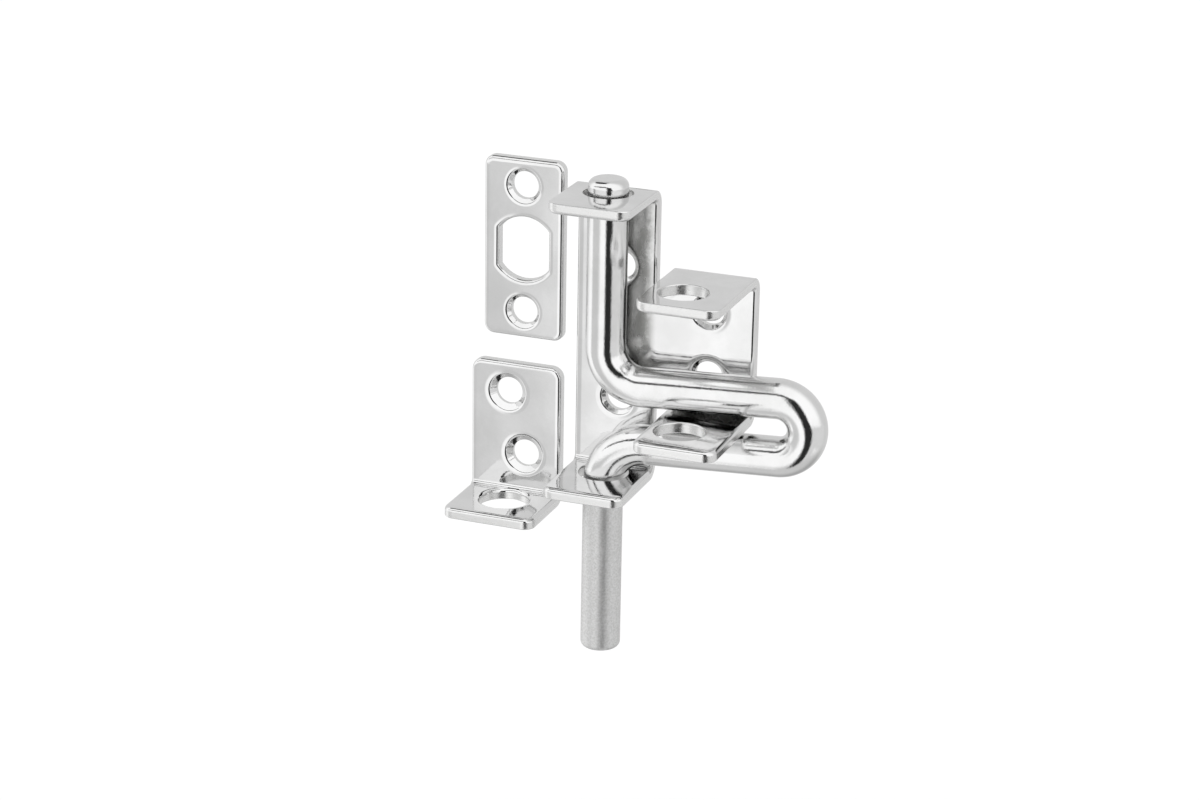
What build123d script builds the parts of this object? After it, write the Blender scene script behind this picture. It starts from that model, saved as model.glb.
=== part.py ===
from build123d import *
import math
import os

# Marine latch: a folded stainless back plate that guides one bent round bar, with its two strikes.
# The back plate is screwed to a wall or door. The bar is bolt, hinge pin and handle in one: its lower
# end drops into a strike, and its loop straddles the lower padlock ear until it is swung out.
# Frame: y = 0 is the mounting surface and +Y goes into it, +Z is up, the bar turns about x = 0, and
# z = 0 is the middle of the back plate. Lengths are millimetres, angles are degrees.

# Stock
BAR_D = 10.0
SHEET = 2.8
FOLD_INSIDE = 1.2

# Back plate: the strip with its two guide ears
STRIP_W = 20.9
STRIP_H = 74.8
UPPER_EAR_DEPTH = 24.4
LOWER_EAR_DEPTH = 25.5
GUIDE_HOLE_D = 12.3
BAR_OFF_WALL = 9.3
EAR_CORNER_R = 3.2

# Back plate: the branch with its two padlock ears
BRANCH_DROP = 0.35
PADLOCK_EAR_GAP = 4.65
PADLOCK_EAR_W = 21.0
PADLOCK_EAR_SPAN = 37.9
PADLOCK_EAR_DEPTH = 32.2
PADLOCK_HOLE_D = 12.4
PADLOCK_HOLE_IN = 8.6
PADLOCK_HOLE_OFF_WALL = 20.9
RELIEF_BELOW_FOLD = 0.4

# Screw holes
SCREW_D = 7.0
SCREW_HEAD_D = 9.2
STRIP_SCREW_ASIDE = 1.0
STRIP_SCREW_PITCH = 34.3
BRANCH_SCREW_IN = 9.1
BRANCH_SCREW_PITCH = 16.4

# Locking bar
ARM_RISE = 2.7
ARM_PITCH = 14.9
ARM_GAP_UNDER_EAR = 0.15
REST_TURN = 1.8
LOOP_REACH = 51.4
UPPER_BEND_R = 9.5
LOWER_BEND_R = 11.5
BAR_TOP_STANDS = 3.5
BOLT_REACH = 44.0
BAR_TOP_SOFT = 2.0
BAR_END_SOFT = 1.4

# Flat strike
FLAT_STRIKE_W = 21.1
FLAT_STRIKE_H = 46.0
FLAT_STRIKE_CORNER_R = 2.6
FLAT_STRIKE_X = -24.6
FLAT_STRIKE_Z = 18.1
FLAT_STRIKE_SCREW_PITCH = 32.3
OPENING_D = 16.2
OPENING_FLATS = 13.0

# Angle strike
ANGLE_STRIKE_W = 24.2
ANGLE_STRIKE_H = 36.3
ANGLE_STRIKE_DEPTH = 21.8
ANGLE_STRIKE_X = -26.3
ANGLE_STRIKE_TOP_Z = -12.0
ANGLE_CORNER_R = 3.0
ANGLE_SCREW_HEAD_D = 10.2
ANGLE_SCREW_DROP = 7.9
ANGLE_SCREW_PITCH = 16.1
ANGLE_SCREW_STAGGER = 2.3
ANGLE_HOLE_D = 12.4
ANGLE_HOLE_OFF_WALL = 10.0

# Worked-out places
FOLD_OUTSIDE = FOLD_INSIDE + SHEET
STRIP_RIGHT = STRIP_W / 2
EAR_LEFT = STRIP_RIGHT + PADLOCK_EAR_GAP
EAR_RIGHT = EAR_LEFT + PADLOCK_EAR_W
EAR_UNDERSIDE = -BRANCH_DROP - PADLOCK_EAR_SPAN / 2
RELIEF_Z = PADLOCK_EAR_SPAN / 2 - FOLD_OUTSIDE - RELIEF_BELOW_FOLD
THROUGH = 3 * SHEET


def channel(upper_depth, lower_depth, height):
    """Side outline of a sheet folded forward at top and bottom."""
    half = height / 2
    corners = [
        (-upper_depth, half),
        (0, half),
        (0, -half),
        (-lower_depth, -half),
        (-lower_depth, SHEET - half),
        (-SHEET, SHEET - half),
        (-SHEET, half - SHEET),
        (-upper_depth, half - SHEET),
    ]
    outline = make_face(Polyline(*corners, close=True))
    by_depth = outline.vertices().group_by(Axis.X)
    outline = fillet(by_depth[-1], FOLD_OUTSIDE)
    inner = [v for v in outline.vertices() if abs(v.X + SHEET) < 0.01]
    return fillet(inner, FOLD_INSIDE)


def angle(depth, height):
    """Side outline of a sheet folded forward at its foot, with the foot's underside at z = 0."""
    corners = [
        (0, height),
        (0, 0),
        (-depth, 0),
        (-depth, SHEET),
        (-SHEET, SHEET),
        (-SHEET, height),
    ]
    outline = make_face(Polyline(*corners, close=True))
    outer = [v for v in outline.vertices() if abs(v.X) < 0.01 and abs(v.Y) < 0.01]
    outline = fillet(outer, FOLD_OUTSIDE)
    inner = [v for v in outline.vertices() if abs(v.X + SHEET) < 0.01 and abs(v.Y - SHEET) < 0.01]
    return fillet(inner, FOLD_INSIDE)


def folded(outline, left, width, corner_r):
    """A folded sheet: its side outline drawn out along X, with the ears' front corners rounded."""
    sheet = Pos(left, 0, 0) * extrude(Plane.YZ * outline, amount=width)
    corners = [edge for edge in sheet.edges().filter_by(Axis.Z) if edge.center().Y < -FOLD_OUTSIDE]
    return fillet(corners, corner_r)


def screw_hole(head_d=SCREW_HEAD_D):
    """Cutter for a countersunk screw hole through a sheet whose back is at y = 0."""
    sink = (head_d - SCREW_D) / 2
    half = [
        (0, SHEET),
        (SCREW_D / 2, SHEET),
        (SCREW_D / 2, sink - SHEET),
        (head_d / 2, -SHEET),
        (head_d / 2, -2 * SHEET),
        (0, -2 * SHEET),
    ]
    return revolve(make_face(Polyline(*half, close=True)), Axis.Y)


def upright_hole(x, y, diameter):
    """Cutter for a hole through ears that lie level, one above the other."""
    return Pos(x, y, 0) * Cylinder(diameter / 2, 2 * STRIP_H)


def back_plate():
    """One blank: the strip, the branch beside it and the web between, with four ears folded forward."""
    strip_outline = channel(UPPER_EAR_DEPTH, LOWER_EAR_DEPTH, STRIP_H)
    strip = folded(strip_outline, -STRIP_W / 2, STRIP_W, EAR_CORNER_R)
    branch_outline = channel(PADLOCK_EAR_DEPTH, PADLOCK_EAR_DEPTH, PADLOCK_EAR_SPAN)
    branch = folded(branch_outline, EAR_LEFT, PADLOCK_EAR_W, EAR_CORNER_R)
    web_middle = Pos((STRIP_RIGHT + EAR_LEFT) / 2, -SHEET / 2, -BRANCH_DROP)
    web = web_middle * Box(PADLOCK_EAR_GAP, SHEET, 2 * RELIEF_Z)
    plate = strip + Pos(0, 0, -BRANCH_DROP) * branch + web
    relief = Rot(90, 0, 0) * Cylinder(PADLOCK_EAR_GAP / 2, THROUGH)
    for side in (-1, 1):
        plate -= web_middle * Pos(0, 0, side * RELIEF_Z) * relief
    plate -= upright_hole(0, -BAR_OFF_WALL, GUIDE_HOLE_D)
    plate -= upright_hole(EAR_LEFT + PADLOCK_HOLE_IN, -PADLOCK_HOLE_OFF_WALL, PADLOCK_HOLE_D)
    for side in (-1, 1):
        plate -= Pos(STRIP_SCREW_ASIDE, 0, side * STRIP_SCREW_PITCH / 2) * screw_hole()
        plate -= Pos(EAR_LEFT + BRANCH_SCREW_IN, 0, side * BRANCH_SCREW_PITCH / 2) * screw_hole()
    return plate


def bar_path():
    """Centreline of the bent bar, drawn upright in X and Z with the hinge axis at x = 0."""
    rise = math.radians(ARM_RISE)
    along = (math.cos(rise), math.sin(rise))
    # As it swings, the lower arm passes just under the padlock ear's far corner
    corner_x = EAR_RIGHT - EAR_CORNER_R
    corner_y = PADLOCK_EAR_DEPTH - BAR_OFF_WALL - EAR_CORNER_R
    far_corner = math.hypot(corner_x, corner_y) + EAR_CORNER_R
    arm_top_at_corner = EAR_UNDERSIDE - ARM_GAP_UNDER_EAR
    lower_arm_z = arm_top_at_corner - far_corner * math.tan(rise) - BAR_D / 2 / along[0]
    arm_z = lower_arm_z + ARM_PITCH / along[0]
    # A bend's tangent length for a turn of 90 degrees, more or less the arm's rise
    upper_tangent = UPPER_BEND_R * math.tan(math.radians(90 + ARM_RISE) / 2)
    lower_tangent = LOWER_BEND_R * math.tan(math.radians(90 - ARM_RISE) / 2)
    turn_start = (LOOP_REACH - ARM_PITCH / 2) / along[0]
    top = (0, STRIP_H / 2 + BAR_TOP_STANDS)
    upright = Line(top, (0, arm_z + upper_tangent))
    upper_bend = JernArc(upright @ 1, upright % 1, UPPER_BEND_R, 90 + ARM_RISE)
    upper_end = (along[0] * turn_start, arm_z + along[1] * turn_start)
    upper_arm = Line(upper_bend @ 1, upper_end)
    turn = JernArc(upper_arm @ 1, upper_arm % 1, ARM_PITCH / 2, -180)
    lower_start = (along[0] * lower_tangent, lower_arm_z + along[1] * lower_tangent)
    lower_arm = Line(turn @ 1, lower_start)
    lower_bend = JernArc(lower_arm @ 1, lower_arm % 1, LOWER_BEND_R, 90 - ARM_RISE)
    bolt_end = (0, -STRIP_H / 2 - BOLT_REACH)
    bolt = Line(lower_bend @ 1, bolt_end)
    return upright + upper_bend + upper_arm + turn + lower_arm + lower_bend + bolt


def locking_bar():
    """One round bar bent into hinge pin, handle loop and bolt, with both ends rounded over."""
    swing_plane = Plane(origin=(0, 0, 0), x_dir=(1, 0, 0), z_dir=(0, -1, 0))
    path = swing_plane * bar_path()
    start = Plane(origin=path @ 0, z_dir=path % 0)
    bar = sweep(start * Circle(BAR_D / 2), path=path)
    ends = bar.faces().filter_by(Axis.Z).sort_by(Axis.Z)
    bar = fillet(ends[0].edges(), BAR_END_SOFT)
    bar = fillet(bar.faces().filter_by(Axis.Z).sort_by(Axis.Z)[-1].edges(), BAR_TOP_SOFT)
    return Pos(0, -BAR_OFF_WALL, 0) * Rot(0, 0, REST_TURN) * bar


def strike_plate():
    """Flat strike with two screws and a double-D opening for the bolt."""
    outline = RectangleRounded(FLAT_STRIKE_W, FLAT_STRIKE_H, FLAT_STRIKE_CORNER_R)
    opening = Circle(OPENING_D / 2) & Rectangle(OPENING_FLATS, OPENING_D)
    plate = extrude(Plane.XZ * (outline - opening), amount=SHEET)
    for side in (-1, 1):
        plate -= Pos(0, 0, side * FLAT_STRIKE_SCREW_PITCH / 2) * screw_hole()
    return Pos(FLAT_STRIKE_X, 0, FLAT_STRIKE_Z) * plate


def angle_strike():
    """Strike folded to an L, with two staggered screws and a round hole for the bolt in its foot."""
    outline = angle(ANGLE_STRIKE_DEPTH, ANGLE_STRIKE_H)
    leg = folded(outline, -ANGLE_STRIKE_W / 2, ANGLE_STRIKE_W, ANGLE_CORNER_R)
    leg = fillet(leg.edges().filter_by(Axis.Y).group_by(Axis.Z)[-1], ANGLE_CORNER_R)
    leg -= upright_hole(0, -ANGLE_HOLE_OFF_WALL, ANGLE_HOLE_D)
    for row, side in enumerate((-1, 1)):
        screw_z = ANGLE_STRIKE_H - ANGLE_SCREW_DROP - row * ANGLE_SCREW_PITCH
        leg -= Pos(side * ANGLE_SCREW_STAGGER, 0, screw_z) * screw_hole(ANGLE_SCREW_HEAD_D)
    foot_z = ANGLE_STRIKE_TOP_Z - ANGLE_STRIKE_H
    return Pos(ANGLE_STRIKE_X, 0, foot_z) * leg


os.makedirs("parts", exist_ok=True)
nodes = {
    "back_plate": back_plate(),
    "locking_bar": locking_bar(),
    "strike_plate": strike_plate(),
    "angle_strike": angle_strike(),
}
for name, solid in nodes.items():
    export_step(solid, f"parts/{name}.step")
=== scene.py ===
import math

import bmesh
import bpy
from mathutils import Matrix, Vector
from mathutils.geometry import tessellate_polygon


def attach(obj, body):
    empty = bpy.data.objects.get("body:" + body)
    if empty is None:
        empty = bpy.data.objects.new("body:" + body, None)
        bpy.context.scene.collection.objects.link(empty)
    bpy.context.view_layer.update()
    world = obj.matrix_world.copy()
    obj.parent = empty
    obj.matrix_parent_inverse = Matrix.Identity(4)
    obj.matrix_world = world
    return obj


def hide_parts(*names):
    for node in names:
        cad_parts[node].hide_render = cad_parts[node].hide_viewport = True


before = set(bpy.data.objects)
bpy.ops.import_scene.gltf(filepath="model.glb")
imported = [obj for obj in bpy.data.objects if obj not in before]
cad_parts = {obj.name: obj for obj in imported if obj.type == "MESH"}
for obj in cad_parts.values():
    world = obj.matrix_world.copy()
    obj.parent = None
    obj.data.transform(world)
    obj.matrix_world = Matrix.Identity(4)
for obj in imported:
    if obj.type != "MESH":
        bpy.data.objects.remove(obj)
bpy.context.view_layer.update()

# The photograph's camera, fitted to the straight edges and holes of the latch
CAMERA_AZIMUTH = math.radians(20.61)
CAMERA_ELEVATION = math.radians(19.81)
CAMERA_ROLL = math.radians(1.04)
CAMERA_PLACE = (0.25130, -0.68075, 0.24252)
FOCAL_PIXELS = 3100
IMAGE_WIDTH = 1200
SENSOR_WIDTH = 36.0
CAMERA_CLIP = 0.01

# Sizes of the latch and of its marks are millimetres, and meshes are written in metres
MM = 0.001

# Sheet and bar stock
SHEET = 2.8
FOLD_INSIDE = 1.2
BAR_D = 10.0

# Rolled edges that polishing leaves on the sheet, with a shallow fall before them
FRONT_ROLL = 1.1
HOLE_ROLL = 0.4
BACK_ROLL = 0.35
SCREW_RIM_ROLL = 1.2
SCREW_SEAT_ROLL = 0.15
FALL_TILT = math.radians(11)
PLATE_FALL = 1.0
PLATE_SCREW_FALL = 1.1
STRIKE_FALL = 0.55
STRIKE_SCREW_FALL = 0.45
ANGLE_SCREW_FALL = 0.9

# Back plate
STRIP_W = 20.9
STRIP_H = 74.8
UPPER_EAR_DEPTH = 24.4
LOWER_EAR_DEPTH = 25.5
GUIDE_HOLE_D = 12.3
BAR_OFF_WALL = 9.3
EAR_CORNER_R = 3.2
BRANCH_DROP = 0.35
PADLOCK_EAR_GAP = 4.65
PADLOCK_EAR_W = 21.0
PADLOCK_EAR_SPAN = 37.9
PADLOCK_EAR_DEPTH = 32.2
PADLOCK_HOLE_D = 12.4
PADLOCK_HOLE_IN = 8.6
PADLOCK_HOLE_OFF_WALL = 20.9
RELIEF_BELOW_FOLD = 0.4

# Screw holes
SCREW_D = 7.0
SCREW_HEAD_D = 9.2
STRIP_SCREW_ASIDE = 1.0
STRIP_SCREW_PITCH = 34.3
BRANCH_SCREW_IN = 9.1
BRANCH_SCREW_PITCH = 16.4

# Locking bar
ARM_RISE = math.radians(2.7)
ARM_PITCH = 14.9
ARM_GAP_UNDER_EAR = 0.15
REST_TURN = math.radians(1.8)
LOOP_REACH = 51.4
UPPER_BEND_R = 9.5
LOWER_BEND_R = 11.5
BAR_TOP_STANDS = 3.5
BOLT_REACH = 44.0
BAR_TOP_SOFT = 2.0
BAR_END_SOFT = 1.4

# Flat strike
FLAT_STRIKE_W = 21.1
FLAT_STRIKE_H = 46.0
FLAT_STRIKE_CORNER_R = 2.6
FLAT_STRIKE_X = -24.6
FLAT_STRIKE_Z = 18.1
FLAT_STRIKE_SCREW_PITCH = 32.3
OPENING_D = 16.2
OPENING_FLATS = 13.0
OPENING_CORNER_R = 0.5

# Angle strike
ANGLE_STRIKE_W = 24.2
ANGLE_STRIKE_H = 36.3
ANGLE_STRIKE_DEPTH = 21.8
ANGLE_STRIKE_X = -26.3
ANGLE_STRIKE_TOP_Z = -12.0
ANGLE_CORNER_R = 3.0
ANGLE_SCREW_HEAD_D = 10.2
ANGLE_SCREW_DROP = 7.9
ANGLE_SCREW_PITCH = 16.1
ANGLE_SCREW_STAGGER = 2.3
ANGLE_HOLE_D = 12.4
ANGLE_HOLE_OFF_WALL = 10.0

# Worked-out places
FOLD_OUTSIDE = FOLD_INSIDE + SHEET
FOLD_MIDDLE = FOLD_INSIDE + SHEET / 2
FOLD_LENGTH = FOLD_MIDDLE * math.pi / 2
STRIP_RIGHT = STRIP_W / 2
EAR_LEFT = STRIP_RIGHT + PADLOCK_EAR_GAP
EAR_RIGHT = EAR_LEFT + PADLOCK_EAR_W
STRIP_FLAT = STRIP_H / 2 - FOLD_OUTSIDE
BRANCH_FLAT = PADLOCK_EAR_SPAN / 2 - FOLD_OUTSIDE
EAR_UNDERSIDE = -BRANCH_DROP - PADLOCK_EAR_SPAN / 2

# Fineness of the curves
ARC_STEPS = 10
ROLL_STEPS = 6
FOLD_STEPS = 10
HOLE_STEPS = 72
BAR_SIDES = 72
BEND_STEP = math.radians(2.5)

# Points of an outline, and of a creased blank, that lie closer than this count as one
SAME_POINT = 0.0028
WELD = 0.002

# A sheet's two materials, and the tilts between which its edge is the cut wall
POLISHED = 0
CUT = 1
WALL_FROM = math.radians(70)
WALL_TO = math.radians(110)

# Tints of the steel. The darkest one is painted shade behind the bar
STEEL_PAINTED_SHADE = (0.33, 0.33, 0.32)
STEEL_DARK = (0.62, 0.62, 0.61)
STEEL_LIGHT = (0.80, 0.80, 0.80)
EDGE_DARK = (0.74, 0.74, 0.73)
EDGE_LIGHT = (0.86, 0.86, 0.86)

# Brightness between two tints, and roughness, each from one end of its marks' range to the other
SHEET_BRIGHTNESS = (1, 0.85)
BAR_BRIGHTNESS = (1, 0.6)
BOLT_BRIGHTNESS = (0.15, 1)
SHEET_ROUGHNESS = (0.05, 0.10)
EDGE_ROUGHNESS = (0.26, 0.36)
BAR_ROUGHNESS = (0.03, 0.12)
BOLT_ROUGHNESS = (0.44, 0.54)

# The duller satin steel behind the bar, which also carries painted shade there: the share of it that its
# blotches show, the painted shade's brightness, and the satin's roughness
SATIN_AND_SHADE_SHARE = (0.45, 1)
PAINTED_SHADE_BRIGHTNESS = 0
SHELTERED_ROUGHNESS = 0.3

# Marks in the steel, as noise: how many to a metre, the levels of detail, and the share of the finest
SHEET_WAVES = (45, 1, 0.5)
SHEET_SMUDGES = (90, 4, 0.6)
SHEET_BLOTCHES = (260, 4, 0.65)
SHEET_GRAIN = (2400, 3, 0.5)
EDGE_LINES = (3000, 3, 0.5)
BAR_WAVES = (70, 1, 0.5)
BAR_SMUDGES = (110, 4, 0.6)
BAR_SPECKLE = (1900, 5, 0.7)
BOLT_LINES = (2600, 4, 0.6)

# Scale of the marks along x, y and z. A small number draws them out along its axis
EVEN = (1, 1, 1)
GRAIN_DRAWN = (0.3, 1, 1)
EDGE_LINES_DRAWN = (0.1, 1, 1)
BOLT_LINES_DRAWN = (1, 1, 0.06)

# The part of a noise's range over which its marks are spread
SMUDGE_RANGE = (0.35, 0.75)
BLOTCH_RANGE = (0.25, 0.6)
SPECKLE_RANGE = (0.34, 0.66)
LINE_RANGE = (0.3, 0.7)
SHEET_TINT_RANGE = (0.3, 0.7)
BAR_TINT_RANGE = (0.3, 0.75)

# Heights of the marks
SHEET_WAVE_HEIGHT = 0.3
SHEET_GRAIN_HEIGHT = 0.006
EDGE_LINE_HEIGHT = 0.003
BAR_WAVE_HEIGHT = 0.1
BAR_GRAIN_HEIGHT = 0.024

# Soft borders of the L behind the bar, which is dull satin with painted shade, and of the satin bolt, each
# from its start to its end
DULL_SHADE_UPRIGHT_LEFT = (2.0, 6.0)
DULL_SHADE_UPRIGHT_RIGHT = (7.5, 11.0)
DULL_SHADE_UPRIGHT_FOOT = (-17.0, -12.0)
DULL_SHADE_ARM_LEFT = (7.0, 11.0)
DULL_SHADE_ARM_TOP = (-13.5, -6.0)
DULL_SHADE_FRONT = (-4.5, -3.5)
DULL_SHADE_BACK = (-2.2, -1.4)
SATIN_TOP = (-STRIP_H / 2 - 2.0, -STRIP_H / 2 + 2.0)

# Light of the studio: the lamp in front, the grey and dark boards, the room and the floor
WHITE = (1, 1, 1, 1)
WHITE_FRONT = 1.2
GREY_LEFT = 0.72
GREY_RIGHT = 0.82
GREY_BEHIND = 0.75
GREY_BELOW = 0.6
DARK = 0.03
FLOOR_COLOUR = 0.9
FLOOR_LIFT = 0.13

# Where a reflection's direction passes from the lamp to the room, along y and along z
BEHIND_FROM_TO = (-0.1, 0.5)
BELOW_FROM_TO = (-0.85, -0.55)

# Places in the studio, in metres and in the latch's frame
FLOOR_Z = -0.16
FLOOR_HALF = 4.0
BOARD_Y = -0.35
RIGHT_BOARD_Y = -0.36
RIGHT_BOARD_BACK_Y = 0.50
STUDIO_LEFT = -0.90
STUDIO_RIGHT = 0.90
LEFT_BOARD_RIGHT = -0.085
LEFT_BOARD_HEIGHTS = (-0.60, -0.01)
LEFT_BOARD_FADES = (("X", -0.20, -0.09), ("Z", -0.075, -0.015))
DARK_LEFT = 0.065
DARK_FOOT = -0.60
DARK_TOP = 0.30
DARK_RIGHT_SIDE = ((0.22, DARK_FOOT), (0.39, -0.11), (0.29, 0.02), (0.23, DARK_TOP))
GAP_HEIGHTS = (0.225, 0.335)
OVERHEAD_Z = 0.5
OVERHEAD_X = (-0.45, -0.06)
OVERHEAD_Y = (-0.05, 0.20)
RIGHT_BOARD_LEFT = 0.34
RIGHT_BOARD_HEIGHTS = (-0.70, -0.04)


def around(angle):
    """The direction at an angle."""
    return Vector((math.cos(angle), math.sin(angle)))


def rounded_loop(corners):
    """Points with their outward normals round a counter-clockwise outline of corners (x, s, radius)."""
    loop = []
    for index, (x, s, radius) in enumerate(corners):
        here = Vector((x, s))
        before = (Vector(corners[index - 1][:2]) - here).normalized()
        after = (Vector(corners[(index + 1) % len(corners)][:2]) - here).normalized()
        side = 1 if after.x * before.y > after.y * before.x else -1
        half = before.angle(after) / 2
        centre = here + (before + after).normalized() * radius / math.sin(half)
        start = here + before * radius / math.tan(half) - centre
        first = math.atan2(start.y, start.x)
        for step in range(ARC_STEPS + 1):
            ray = around(first + side * (math.pi - 2 * half) * step / ARC_STEPS)
            point = centre + ray * radius
            if not loop or (point - loop[-1][0]).length > SAME_POINT:
                loop.append((point, ray * side))
    return loop


def hole_loop(x, s, diameter):
    """Points round a hole. Their normals leave the metal, so they look to the hole's middle."""
    rays = [around(2 * math.pi * step / HOLE_STEPS) for step in range(HOLE_STEPS)]
    return [(Vector((x, s)) + ray * diameter / 2, -ray) for ray in rays]


def double_d_loop(x, s):
    """Points round a round opening with two flat sides and softened corners."""
    corner_x = OPENING_FLATS / 2 - OPENING_CORNER_R
    corner_s = math.sqrt((OPENING_D / 2 - OPENING_CORNER_R) ** 2 - corner_x ** 2)
    corner_end = math.atan2(corner_s, corner_x)
    steps = range(ARC_STEPS + 1)
    on_corner = [around(corner_end * step / ARC_STEPS) for step in steps]
    on_circle = [around(corner_end + (math.pi / 2 - corner_end) * step / ARC_STEPS) for step in steps[1:]]
    quarter = [(Vector((corner_x, corner_s)) + ray * OPENING_CORNER_R, ray) for ray in on_corner]
    quarter += [(ray * OPENING_D / 2, ray) for ray in on_circle]
    loop = []
    for side_x, side_s in ((1, 1), (-1, 1), (-1, -1), (1, -1)):
        for point, ray in quarter if side_x * side_s > 0 else quarter[::-1]:
            place = Vector((x + side_x * point.x, s + side_s * point.y))
            if not loop or (place - loop[-1][0]).length > SAME_POINT:
                loop.append((place, Vector((-side_x * ray.x, -side_s * ray.y))))
    if (loop[0][0] - loop[-1][0]).length < SAME_POINT:
        loop.pop()
    return loop


def roll(inset, depth, radius, start, end):
    """A rounded edge's profile as (inset, depth, tilt). Tilt 0 faces the front, 90 degrees sideways."""
    tilts = [start + (end - start) * step / ROLL_STEPS for step in range(ROLL_STEPS + 1)]
    return [(inset - radius * math.sin(tilt), depth + radius * math.cos(tilt), tilt) for tilt in tilts]


def fall_and_roll(touch, fall, radius, end):
    """A shallow fall of the given width, then a tighter roll whose uncut circle would touch the inset."""
    fall_radius = fall / math.sin(FALL_TILT)
    start = touch + (fall_radius - radius) * math.sin(FALL_TILT)
    dip = (fall_radius - radius) * (1 - math.cos(FALL_TILT))
    shallow = roll(start, SHEET - fall_radius, fall_radius, 0, FALL_TILT)
    return shallow[:-1] + roll(touch, SHEET - radius - dip, radius, FALL_TILT, end)


def edge_profile(radius, fall):
    """The front's roll, the wall and the back's small roll."""
    if fall:
        front = fall_and_roll(radius, fall, radius, math.pi / 2)
    else:
        front = roll(radius, SHEET - radius, radius, 0, math.pi / 2)
    return front + roll(BACK_ROLL, BACK_ROLL, BACK_ROLL, math.pi / 2, math.pi)


def screw_profile(head_d, fall):
    """A dimple with a soft rim, the countersink's cone, the bore and its back edge."""
    sink = (head_d - SCREW_D) / 2
    tangent = math.tan(math.pi / 8)
    rim = fall_and_roll(sink + SCREW_RIM_ROLL * tangent, fall, SCREW_RIM_ROLL, math.pi / 4)
    seat_depth = SHEET - sink - SCREW_SEAT_ROLL * tangent
    seat = roll(SCREW_SEAT_ROLL, seat_depth, SCREW_SEAT_ROLL, math.pi / 4, math.pi / 2)
    return rim + seat + roll(BACK_ROLL, BACK_ROLL, BACK_ROLL, math.pi / 2, math.pi)


def fold(place, facing, low, high):
    """Carries a point of the blank, and its normal, to the folded sheet, which is flat from low to high."""
    x, depth, s = place
    if low <= s <= high:
        return Vector((x, -depth, s)), Vector((facing.x, -facing.y, facing.z))
    side = 1 if s > high else -1
    start = high if s > high else low
    past = abs(s - start)
    turn = min(past / FOLD_MIDDLE, math.pi / 2)
    onward = max(past - FOLD_LENGTH, 0)
    radius = FOLD_OUTSIDE - depth
    point = Vector((
        x,
        -FOLD_OUTSIDE + radius * math.cos(turn) - onward,
        start + side * radius * math.sin(turn),
    ))
    front = Vector((0, -math.cos(turn), -side * math.sin(turn)))
    up = Vector((0, -side * math.sin(turn), math.cos(turn)))
    return point, Vector((facing.x, 0, 0)) + front * facing.y + up * facing.z


def on_ear(start, side, off_wall):
    """Where a place on an ear lies on the blank, from the fold's start and its distance off the wall."""
    return start + side * (FOLD_LENGTH + off_wall - FOLD_OUTSIDE)


def write_mesh(name, builder, facing):
    """Turns a closed bmesh whose vertices carry their own normals into an object."""
    bmesh.ops.recalc_face_normals(builder, faces=builder.faces)
    if builder.calc_volume(signed=True) < 0:
        bmesh.ops.reverse_faces(builder, faces=builder.faces)
    for face in builder.faces:
        face.smooth = True
    normals = [vertex[facing].normalized() for vertex in builder.verts]
    mesh = bpy.data.meshes.new(name)
    builder.to_mesh(mesh)
    builder.free()
    mesh.normals_split_custom_set_from_vertices(normals)
    piece = bpy.data.objects.new(name, mesh)
    bpy.context.scene.collection.objects.link(piece)
    return piece


def band(builder, row, following, material=POLISHED):
    """Joins two closed rings of vertices."""
    for index in range(len(row)):
        beside = (index + 1) % len(row)
        face = builder.faces.new((row[index], row[beside], following[beside], following[index]))
        face.material_index = material


def add_edge(builder, facing, loop, profile):
    """Builds one rolled edge, and returns its rings at the front and at the back."""
    rows = []
    for inset, depth, tilt in profile:
        sideways = math.sin(tilt)
        row = []
        for point, out in loop:
            place = point - out * inset
            vertex = builder.verts.new((place.x, depth, place.y))
            vertex[facing] = Vector((out.x * sideways, math.cos(tilt), out.y * sideways))
            row.append(vertex)
        rows.append(row)
    tilts = [tilt for _, _, tilt in profile]
    for step in range(len(rows) - 1):
        on_wall = tilts[step] > WALL_FROM and tilts[step + 1] < WALL_TO
        band(builder, rows[step], rows[step + 1], CUT if on_wall else POLISHED)
    return rows[0], rows[-1]


def fill(builder, rims):
    """Closes the flat face between an outline and its holes."""
    corners = [vertex for rim in rims for vertex in rim]
    flat = [[Vector((vertex.co.x, vertex.co.z, 0)) for vertex in rim] for rim in rims]
    for triangle in tessellate_polygon(flat):
        builder.faces.new([corners[index] for index in triangle])


def crease(builder, low, high):
    """Cuts the blank across, where it bends below low and above high."""
    for start, side in ((low, -1), (high, 1)):
        for step in range(FOLD_STEPS + 1):
            everything = builder.verts[:] + builder.edges[:] + builder.faces[:]
            line = (0, 0, start + side * FOLD_LENGTH * step / FOLD_STEPS)
            bmesh.ops.bisect_plane(
                builder, geom=everything, dist=WELD, plane_co=line, plane_no=(0, 0, 1)
            )


def sheet_piece(name, edges, flat_at):
    """A folded sheet with rolled edges. edges lists (loop, profile), the outline first and then the holes,
    and flat_at gives the range in which the blank stays flat at x."""
    builder = bmesh.new()
    facing = builder.verts.layers.float_vector.new("facing")
    rims = [add_edge(builder, facing, loop, profile) for loop, profile in edges]
    for rim in zip(*rims):
        fill(builder, rim)
    for low, high in sorted({flat_at(vertex.co.x) for vertex in builder.verts}):
        crease(builder, low, high)
    bmesh.ops.remove_doubles(builder, verts=builder.verts, dist=WELD)
    for vertex in builder.verts:
        low, high = flat_at(vertex.co.x)
        place, normal = fold(vertex.co.copy(), vertex[facing].copy(), low, high)
        vertex.co = place * MM
        vertex[facing] = normal
    return write_mesh(name, builder, facing)


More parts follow.
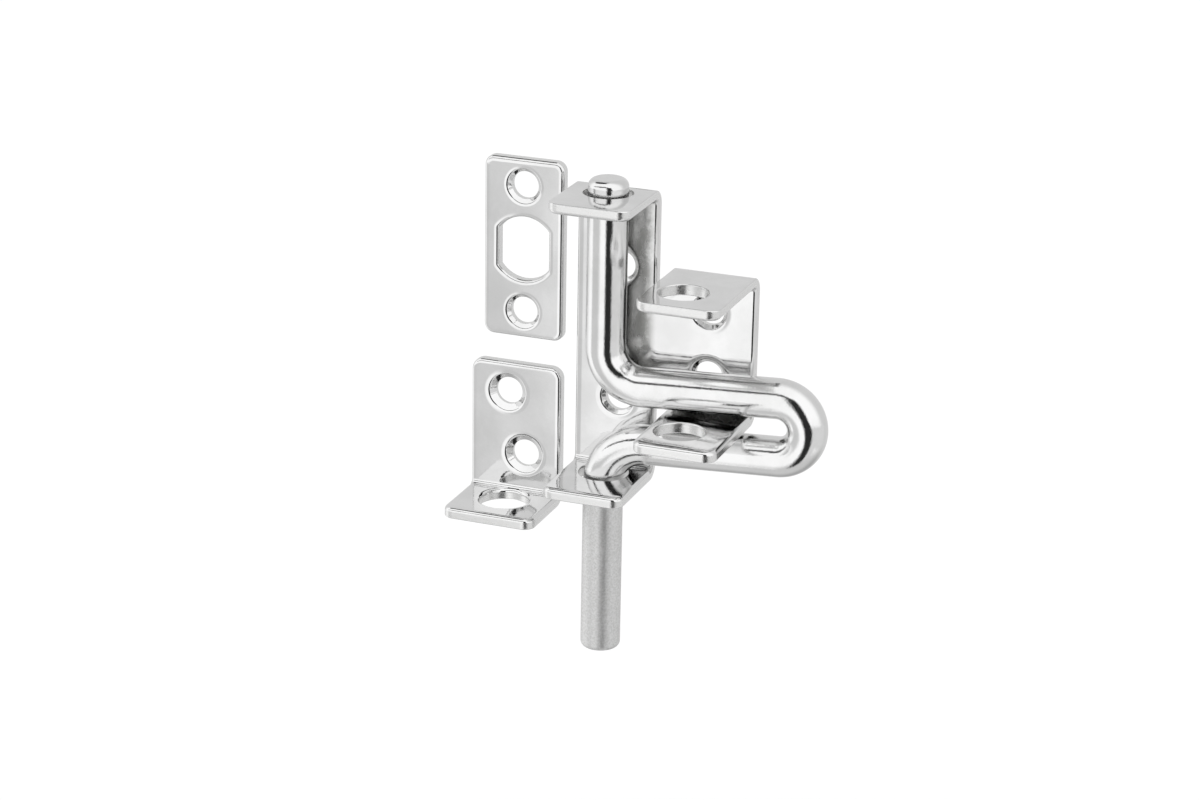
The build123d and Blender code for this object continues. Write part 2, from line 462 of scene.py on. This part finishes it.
def back_plate():
    """One blank: the strip and the branch with U slots between them, and an ear at each end of both."""
    branch = (-BRANCH_DROP - BRANCH_FLAT, -BRANCH_DROP + BRANCH_FLAT)
    strip = (-STRIP_FLAT, STRIP_FLAT)
    strip_top = on_ear(strip[1], 1, UPPER_EAR_DEPTH)
    strip_foot = on_ear(strip[0], -1, LOWER_EAR_DEPTH)
    branch_top = on_ear(branch[1], 1, PADLOCK_EAR_DEPTH)
    branch_foot = on_ear(branch[0], -1, PADLOCK_EAR_DEPTH)
    slot_r = PADLOCK_EAR_GAP / 2
    slot_reach = RELIEF_BELOW_FOLD + slot_r
    corners = [
        (-STRIP_RIGHT, strip_foot, EAR_CORNER_R),
        (STRIP_RIGHT, strip_foot, EAR_CORNER_R),
        (STRIP_RIGHT, branch[0] + slot_reach, slot_r),
        (EAR_LEFT, branch[0] + slot_reach, slot_r),
        (EAR_LEFT, branch_foot, EAR_CORNER_R),
        (EAR_RIGHT, branch_foot, EAR_CORNER_R),
        (EAR_RIGHT, branch_top, EAR_CORNER_R),
        (EAR_LEFT, branch_top, EAR_CORNER_R),
        (EAR_LEFT, branch[1] - slot_reach, slot_r),
        (STRIP_RIGHT, branch[1] - slot_reach, slot_r),
        (STRIP_RIGHT, strip_top, EAR_CORNER_R),
        (-STRIP_RIGHT, strip_top, EAR_CORNER_R),
    ]
    edges = [(rounded_loop(corners), edge_profile(FRONT_ROLL, PLATE_FALL))]
    padlock_x = EAR_LEFT + PADLOCK_HOLE_IN
    for side, strip_end, branch_end in ((-1, strip[0], branch[0]), (1, strip[1], branch[1])):
        guide = hole_loop(0, on_ear(strip_end, side, BAR_OFF_WALL), GUIDE_HOLE_D)
        padlock = hole_loop(padlock_x, on_ear(branch_end, side, PADLOCK_HOLE_OFF_WALL), PADLOCK_HOLE_D)
        strip_screw = hole_loop(STRIP_SCREW_ASIDE, side * STRIP_SCREW_PITCH / 2, SCREW_D)
        branch_screw = hole_loop(EAR_LEFT + BRANCH_SCREW_IN, side * BRANCH_SCREW_PITCH / 2, SCREW_D)
        edges += [(hole, edge_profile(HOLE_ROLL, 0)) for hole in (guide, padlock)]
        for screw in (strip_screw, branch_screw):
            edges.append((screw, screw_profile(SCREW_HEAD_D, PLATE_SCREW_FALL)))
    middle = (STRIP_RIGHT + EAR_LEFT) / 2
    return sheet_piece("back_plate_polished", edges, lambda x: strip if x < middle else branch)


def strike_plate():
    """Flat strike: two countersunk holes and the bolt's opening."""
    left, right = FLAT_STRIKE_X - FLAT_STRIKE_W / 2, FLAT_STRIKE_X + FLAT_STRIKE_W / 2
    low, high = FLAT_STRIKE_Z - FLAT_STRIKE_H / 2, FLAT_STRIKE_Z + FLAT_STRIKE_H / 2
    corners = [
        (left, low, FLAT_STRIKE_CORNER_R),
        (right, low, FLAT_STRIKE_CORNER_R),
        (right, high, FLAT_STRIKE_CORNER_R),
        (left, high, FLAT_STRIKE_CORNER_R),
    ]
    opening = double_d_loop(FLAT_STRIKE_X, FLAT_STRIKE_Z)
    edges = [(loop, edge_profile(FRONT_ROLL, STRIKE_FALL)) for loop in (rounded_loop(corners), opening)]
    for side in (-1, 1):
        screw_z = FLAT_STRIKE_Z + side * FLAT_STRIKE_SCREW_PITCH / 2
        screw = hole_loop(FLAT_STRIKE_X, screw_z, SCREW_D)
        edges.append((screw, screw_profile(SCREW_HEAD_D, STRIKE_SCREW_FALL)))
    past_low, past_high = low - FLAT_STRIKE_H, high + FLAT_STRIKE_H
    return sheet_piece("strike_plate_polished", edges, lambda x: (past_low, past_high))


def angle_strike():
    """Strike folded at its foot: two staggered screws above and the bolt's hole in the foot."""
    low = ANGLE_STRIKE_TOP_Z - ANGLE_STRIKE_H + FOLD_OUTSIDE
    foot = on_ear(low, -1, ANGLE_STRIKE_DEPTH)
    left, right = ANGLE_STRIKE_X - ANGLE_STRIKE_W / 2, ANGLE_STRIKE_X + ANGLE_STRIKE_W / 2
    corners = [
        (left, foot, ANGLE_CORNER_R),
        (right, foot, ANGLE_CORNER_R),
        (right, ANGLE_STRIKE_TOP_Z, ANGLE_CORNER_R),
        (left, ANGLE_STRIKE_TOP_Z, ANGLE_CORNER_R),
    ]
    bolt_hole = hole_loop(ANGLE_STRIKE_X, on_ear(low, -1, ANGLE_HOLE_OFF_WALL), ANGLE_HOLE_D)
    edges = [(loop, edge_profile(FRONT_ROLL, STRIKE_FALL)) for loop in (rounded_loop(corners), bolt_hole)]
    for row, side in enumerate((-1, 1)):
        screw_z = ANGLE_STRIKE_TOP_Z - ANGLE_SCREW_DROP - row * ANGLE_SCREW_PITCH
        screw = hole_loop(ANGLE_STRIKE_X + side * ANGLE_SCREW_STAGGER, screw_z, SCREW_D)
        edges.append((screw, screw_profile(ANGLE_SCREW_HEAD_D, ANGLE_SCREW_FALL)))
    past_top = ANGLE_STRIKE_TOP_Z + ANGLE_STRIKE_H
    return sheet_piece("angle_strike_polished", edges, lambda x: (low, past_top))


def bar_walk():
    """The bar's centreline from its top to the bolt's end, as (place, heading) in x and z. Each move is a
    straight run and the bend that follows it: (run, radius, turn)."""
    along = math.cos(ARM_RISE)
    corner_x = EAR_RIGHT - EAR_CORNER_R
    corner_y = PADLOCK_EAR_DEPTH - BAR_OFF_WALL - EAR_CORNER_R
    far_corner = math.hypot(corner_x, corner_y) + EAR_CORNER_R
    arm_top_at_corner = EAR_UNDERSIDE - ARM_GAP_UNDER_EAR
    lower_arm_z = arm_top_at_corner - far_corner * math.tan(ARM_RISE) - BAR_D / 2 / along
    arm_z = lower_arm_z + ARM_PITCH / along
    upper_tangent = UPPER_BEND_R * math.tan((math.pi / 2 + ARM_RISE) / 2)
    lower_tangent = LOWER_BEND_R * math.tan((math.pi / 2 - ARM_RISE) / 2)
    turn_start = (LOOP_REACH - ARM_PITCH / 2) / along
    top = STRIP_H / 2 + BAR_TOP_STANDS
    lower_run = turn_start + ARM_PITCH * math.tan(ARM_RISE) - lower_tangent
    bolt_run = lower_arm_z - lower_tangent + STRIP_H / 2 + BOLT_REACH
    moves = (
        (top - arm_z - upper_tangent, UPPER_BEND_R, math.pi / 2 + ARM_RISE),
        (turn_start - upper_tangent, ARM_PITCH / 2, -math.pi),
        (lower_run, LOWER_BEND_R, math.pi / 2 - ARM_RISE),
        (bolt_run, 0, 0),
    )
    place, heading = Vector((0, top)), -math.pi / 2
    walk = [(place, heading)]
    for run, radius, turn in moves:
        place = place + around(heading) * run
        walk.append((place, heading))
        steps = math.ceil(abs(turn) / BEND_STEP)
        side = 1 if turn > 0 else -1
        centre = place + around(heading + side * math.pi / 2) * radius
        for step in range(1, steps + 1):
            bent = heading + turn * step / steps
            walk.append((centre - around(bent + side * math.pi / 2) * radius, bent))
        if steps:
            place, heading = walk[-1]
    return walk


def bar_rings():
    """Rings from the bar's top to the bolt's end, as (middle, heading, radius, out, ahead). The last two
    say how far the surface looks outward and forward there."""
    walk = bar_walk()
    roundings = []
    for (place, heading), soft, inward in ((walk[0], BAR_TOP_SOFT, 1), (walk[-1], BAR_END_SOFT, -1)):
        rings = []
        for step in range(ROLL_STEPS + 1):
            tilt = math.pi / 2 * step / ROLL_STEPS
            out, along = math.sin(tilt), math.cos(tilt)
            middle = place + around(heading) * inward * soft * (1 - along)
            rings.append((middle, heading, BAR_D / 2 - soft * (1 - out), out, -inward * along))
        roundings.append(rings)
    body = [(place, heading, BAR_D / 2, 1, 0) for place, heading in walk[1:-1]]
    return roundings[0] + body + roundings[1][::-1]


def locking_bar():
    """One round bar swept along its centreline, with both ends rounded over."""
    turned = Matrix.Rotation(REST_TURN, 3, "Z")
    off_wall = Vector((0, -BAR_OFF_WALL, 0))
    builder = bmesh.new()
    facing = builder.verts.layers.float_vector.new("facing")
    rows = []
    for middle, heading, radius, out, ahead in bar_rings():
        forward = Vector((math.cos(heading), 0, math.sin(heading)))
        beside = Vector((-math.sin(heading), 0, math.cos(heading)))
        centre = Vector((middle.x, 0, middle.y))
        row = []
        for index in range(BAR_SIDES):
            angle = 2 * math.pi * index / BAR_SIDES
            ray = beside * math.cos(angle) + Vector((0, 1, 0)) * math.sin(angle)
            vertex = builder.verts.new((turned @ (centre + ray * radius) + off_wall) * MM)
            vertex[facing] = turned @ (ray * out + forward * ahead)
            row.append(vertex)
        rows.append(row)
    for row, following in zip(rows, rows[1:]):
        band(builder, row, following)
    for row in (rows[0], rows[-1]):
        builder.faces.new(row)
    return write_mesh("locking_bar_polished", builder, facing)


class Nodes:
    """Short ways to lay out the nodes of a material or of the world."""

    def __init__(self, tree):
        self.tree = tree

    def node(self, kind, **settings):
        node = self.tree.nodes.new(kind)
        for key, value in settings.items():
            setattr(node, key, value)
        return node

    def feed(self, value, socket):
        """Gives a socket a plain number, or the output of another node."""
        if isinstance(value, (int, float)):
            socket.default_value = value
        else:
            self.tree.links.new(value, socket)

    def axes(self, coordinates):
        """The X, Y and Z outputs of the named texture coordinates."""
        place = self.node("ShaderNodeTexCoord")
        split = self.node("ShaderNodeSeparateXYZ")
        self.feed(place.outputs[coordinates], split.inputs["Vector"])
        return split.outputs

    def maths(self, operation, first, second):
        node = self.node("ShaderNodeMath", operation=operation)
        self.feed(first, node.inputs[0])
        self.feed(second, node.inputs[1])
        return node.outputs["Value"]

    def times(self, first, second):
        return self.maths("MULTIPLY", first, second)

    def larger(self, first, second):
        return self.maths("MAXIMUM", first, second)

    def spread(self, value, given, wanted):
        """Maps a value from the given range to the wanted one, smoothly and within its ends."""
        node = self.node("ShaderNodeMapRange", interpolation_type="SMOOTHSTEP")
        for key, number in zip(("From Min", "From Max", "To Min", "To Max"), (*given, *wanted)):
            node.inputs[key].default_value = number
        self.feed(value, node.inputs["Value"])
        return node.outputs["Result"]

    def blend(self, share, first, second):
        node = self.node("ShaderNodeMix", data_type="FLOAT")
        for value, socket in ((share, 0), (first, 2), (second, 3)):
            self.feed(value, node.inputs[socket])
        return node.outputs[0]


class Surface(Nodes):
    """A new material's nodes, and its principled shader."""

    def __init__(self, name):
        self.material = bpy.data.materials.new(name)
        self.material.use_nodes = True
        super().__init__(self.material.node_tree)
        self.shader = self.tree.nodes["Principled BSDF"]


class Steel(Surface):
    """A metal's material, with short ways to mark it."""

    def __init__(self, name):
        super().__init__(name)
        self.shader.inputs["Metallic"].default_value = 1

    def noise(self, marks, drawn=EVEN):
        """The given marks over the piece's own coordinates, which are metres."""
        scale, detail, finest = marks
        place = self.node("ShaderNodeTexCoord")
        mapping = self.node("ShaderNodeMapping")
        mapping.inputs["Scale"].default_value = drawn
        self.feed(place.outputs["Object"], mapping.inputs["Vector"])
        node = self.node("ShaderNodeTexNoise")
        for key, number in (("Scale", scale), ("Detail", detail), ("Roughness", finest)):
            node.inputs[key].default_value = number
        self.feed(mapping.outputs["Vector"], node.inputs["Vector"])
        return node.outputs["Fac"]

    def rise(self, value, border):
        """0 before the border and 1 past it. The border is in millimetres."""
        return self.spread(value, [end * MM for end in border], (0, 1))

    def fall(self, value, border):
        """1 before the border and 0 past it. The border is in millimetres."""
        return self.spread(value, [end * MM for end in border], (1, 0))

    def rough(self, value):
        self.feed(value, self.shader.inputs["Roughness"])

    def tint(self, value, dark, light):
        """Steel between two tints, by value."""
        ramp = self.node("ShaderNodeValToRGB")
        ramp.color_ramp.elements[0].color = (*dark, 1)
        ramp.color_ramp.elements[1].color = (*light, 1)
        self.feed(value, ramp.inputs["Fac"])
        self.feed(ramp.outputs["Color"], self.shader.inputs["Base Color"])

    def relief(self, *layers):
        """Fine relief in layers of (value, height in millimetres), the broadest first."""
        before = None
        for value, height in layers:
            node = self.node("ShaderNodeBump")
            node.inputs["Strength"].default_value = 1
            node.inputs["Distance"].default_value = height * MM
            self.feed(value, node.inputs["Height"])
            if before is not None:
                self.feed(before, node.inputs["Normal"])
            before = node.outputs["Normal"]
        self.feed(before, self.shader.inputs["Normal"])


def satin_and_shade_behind_bar(steel):
    """Where the bar keeps the polishing wheel off the back plate: an L behind its upright and its arm. It
    is duller satin steel and also carries the bar's shade, painted into its tint.
    """
    axes = steel.axes("Object")
    x, y, z = axes["X"], axes["Y"], axes["Z"]
    upright = steel.times(steel.rise(x, DULL_SHADE_UPRIGHT_LEFT), steel.fall(x, DULL_SHADE_UPRIGHT_RIGHT))
    upright = steel.times(upright, steel.rise(z, DULL_SHADE_UPRIGHT_FOOT))
    arm = steel.times(steel.rise(x, DULL_SHADE_ARM_LEFT), steel.fall(z, DULL_SHADE_ARM_TOP))
    front = steel.times(steel.rise(y, DULL_SHADE_FRONT), steel.fall(y, DULL_SHADE_BACK))
    return steel.times(steel.larger(upright, arm), front)


def polished_sheet():
    """Mirror-polished sheet: slow waves, a fine grain, faint smudges, and behind the bar an L of duller
    satin whose dark tint is painted shade.
    """
    steel = Steel("polished_sheet")
    waves = steel.noise(SHEET_WAVES)
    smudges = steel.noise(SHEET_SMUDGES)
    blotches = steel.noise(SHEET_BLOTCHES)
    grain = steel.noise(SHEET_GRAIN, GRAIN_DRAWN)
    # The L behind the bar is rougher satin, and its dark tint is painted shade from the bar
    dull_and_shaded = steel.times(satin_and_shade_behind_bar(steel), steel.spread(blotches, BLOTCH_RANGE, SATIN_AND_SHADE_SHARE))
    mirror = steel.spread(smudges, SMUDGE_RANGE, SHEET_ROUGHNESS)
    steel.rough(steel.blend(dull_and_shaded, mirror, SHELTERED_ROUGHNESS))
    clean = steel.spread(smudges, SHEET_TINT_RANGE, SHEET_BRIGHTNESS)
    # Behind the bar the tint falls to its darkest, which is painted shade
    steel.tint(steel.blend(dull_and_shaded, clean, PAINTED_SHADE_BRIGHTNESS), STEEL_PAINTED_SHADE, STEEL_LIGHT)
    steel.relief((waves, SHEET_WAVE_HEIGHT), (grain, SHEET_GRAIN_HEIGHT))
    return steel.material


def cut_edge():
    """The sheet's cut edges: ground smooth, with fine lines along them and less mirror."""
    steel = Steel("cut_edge")
    lines = steel.noise(EDGE_LINES, EDGE_LINES_DRAWN)
    steel.rough(steel.spread(lines, LINE_RANGE, EDGE_ROUGHNESS))
    steel.tint(lines, EDGE_DARK, EDGE_LIGHT)
    steel.relief((lines, EDGE_LINE_HEIGHT))
    return steel.material


def polished_bar():
    """Round bar: grainy polish above, and a satin bolt, speckled and drawn, below the lower guide ear."""
    steel = Steel("polished_bar")
    waves = steel.noise(BAR_WAVES)
    smudges = steel.noise(BAR_SMUDGES)
    speckle = steel.noise(BAR_SPECKLE)
    lines = steel.noise(BOLT_LINES, BOLT_LINES_DRAWN)
    satin = steel.fall(steel.axes("Object")["Z"], SATIN_TOP)
    mirror = steel.spread(smudges, SMUDGE_RANGE, BAR_ROUGHNESS)
    matt = steel.spread(lines, LINE_RANGE, BOLT_ROUGHNESS)
    steel.rough(steel.blend(satin, mirror, matt))
    clean = steel.spread(smudges, BAR_TINT_RANGE, BAR_BRIGHTNESS)
    dusty = steel.spread(speckle, SPECKLE_RANGE, BOLT_BRIGHTNESS)
    steel.tint(steel.blend(satin, clean, dusty), STEEL_DARK, STEEL_LIGHT)
    steel.relief((waves, BAR_WAVE_HEIGHT), (steel.blend(satin, speckle, lines), BAR_GRAIN_HEIGHT))
    return steel.material


def add_camera():
    """The camera stands to the right of the wall's normal and looks down on the latch."""
    data = bpy.data.cameras.new("photo_camera")
    data.sensor_width = SENSOR_WIDTH
    data.lens = SENSOR_WIDTH * FOCAL_PIXELS / IMAGE_WIDTH
    data.clip_start = CAMERA_CLIP
    camera = bpy.data.objects.new("photo_camera", data)
    camera.matrix_world = (
        Matrix.Translation(CAMERA_PLACE)
        @ Matrix.Rotation(CAMERA_AZIMUTH, 4, "Z")
        @ Matrix.Rotation(math.pi / 2 - CAMERA_ELEVATION, 4, "X")
        @ Matrix.Rotation(CAMERA_ROLL, 4, "Z")
    )
    bpy.context.scene.collection.objects.link(camera)
    bpy.context.scene.camera = camera


def panel(name, corners, material):
    """A flat board of the studio, outside the part."""
    mesh = bpy.data.meshes.new(name)
    mesh.from_pydata(corners, [], [tuple(range(len(corners)))])
    mesh.materials.append(material)
    board = bpy.data.objects.new(name, mesh)
    bpy.context.scene.collection.objects.link(board)
    return board


def glow(name, strength, fades):
    """A board's light, which rises to the lamp's past soft borders of (axis, start, end)."""
    surface = Surface(name)
    light = strength
    for axis, start, end in fades:
        past = surface.spread(surface.axes("Object")[axis], (start, end), (strength, WHITE_FRONT))
        light = surface.larger(past, light)
    emission = surface.node("ShaderNodeEmission")
    emission.inputs["Color"].default_value = WHITE
    surface.feed(light, emission.inputs["Strength"])
    surface.feed(emission.outputs["Emission"], surface.tree.nodes["Material Output"].inputs["Surface"])
    return surface.material


def card(name, corners, strength, fades=()):
    """A studio board that only reflections see."""
    board = panel(name, corners, glow(name, strength, fades))
    board.visible_camera = False
    board.visible_diffuse = False
    board.visible_transmission = False
    board.visible_volume_scatter = False
    board.visible_shadow = False


def front_card(name, outline, strength, y=BOARD_Y, fades=()):
    """A board in front of the latch and square to its wall. The outline lists its corners as (x, z)."""
    card(name, [(x, y, z) for x, z in outline], strength, fades)


def oblong(left, right, low, high):
    """The corners of an upright oblong."""
    return [(left, low), (right, low), (right, high), (left, high)]


def add_studio():
    """Grey boards low on both sides, and dark gaps beside, above and over the white lamp in front."""
    left = oblong(STUDIO_LEFT, LEFT_BOARD_RIGHT, *LEFT_BOARD_HEIGHTS)
    front_card("grey_left", left, GREY_LEFT, fades=LEFT_BOARD_FADES)
    front_card("dark_right", [(DARK_LEFT, DARK_FOOT), *DARK_RIGHT_SIDE, (DARK_LEFT, DARK_TOP)], DARK)
    front_card("dark_gap", oblong(STUDIO_LEFT, DARK_LEFT, *GAP_HEIGHTS), DARK)
    card("dark_overhead", [(x, y, OVERHEAD_Z) for x, y in oblong(*OVERHEAD_X, *OVERHEAD_Y)], DARK)
    right = oblong(RIGHT_BOARD_LEFT, STUDIO_RIGHT, *RIGHT_BOARD_HEIGHTS)
    front_card("grey_right", right, GREY_RIGHT, y=RIGHT_BOARD_Y)
    side = oblong(RIGHT_BOARD_Y, RIGHT_BOARD_BACK_Y, *RIGHT_BOARD_HEIGHTS)
    card("grey_far_right", [(STUDIO_RIGHT, y, z) for y, z in side], GREY_RIGHT)


def add_world():
    """Plain white light on everything. Reflections see a grey room behind and below."""
    world = bpy.data.worlds.new("studio")
    bpy.context.scene.world = world
    world.use_nodes = True
    nodes = Nodes(world.node_tree)
    background = nodes.tree.nodes["Background"]
    background.inputs["Strength"].default_value = 1
    direction = nodes.axes("Generated")
    behind = nodes.spread(direction["Y"], BEHIND_FROM_TO, (WHITE_FRONT, GREY_BEHIND))
    below = nodes.spread(direction["Z"], BELOW_FROM_TO, (GREY_BELOW, 1))
    mirrored = nodes.node("ShaderNodeLightPath").outputs["Is Glossy Ray"]
    light = nodes.blend(mirrored, 1, nodes.times(behind, below))
    nodes.feed(light, background.inputs["Color"])


def add_floor():
    """A pale floor below the latch. It shows white and keeps the soft shadow."""
    surface = Surface("pale_floor")
    inputs = surface.shader.inputs
    inputs["Base Color"].default_value = (FLOOR_COLOUR, FLOOR_COLOUR, FLOOR_COLOUR, 1)
    inputs["Roughness"].default_value = 1
    inputs["Specular IOR Level"].default_value = 0
    inputs["Emission Color"].default_value = WHITE
    seen = surface.node("ShaderNodeLightPath").outputs["Is Camera Ray"]
    surface.feed(surface.times(seen, FLOOR_LIFT), inputs["Emission Strength"])
    outline = oblong(-FLOOR_HALF, FLOOR_HALF, -FLOOR_HALF, FLOOR_HALF)
    floor = panel("floor", [(x, y, FLOOR_Z) for x, y in outline], surface.material)
    floor.visible_glossy = False


def dress(piece, node, body, materials):
    """Gives a finished piece its body and its materials, and hides the plain node under it."""
    for material in materials:
        piece.data.materials.append(material)
    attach(piece, body)
    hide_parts(node)


add_camera()
add_world()
add_studio()
add_floor()
sheet_finish = (polished_sheet(), cut_edge())
bar_finish = (polished_bar(),)
dress(back_plate(), "back_plate", "plate", sheet_finish)
dress(strike_plate(), "strike_plate", "plate", sheet_finish)
dress(angle_strike(), "angle_strike", "plate", sheet_finish)
dress(locking_bar(), "locking_bar", "bar", bar_finish)
bpy.context.scene.view_settings.view_transform = "Standard"
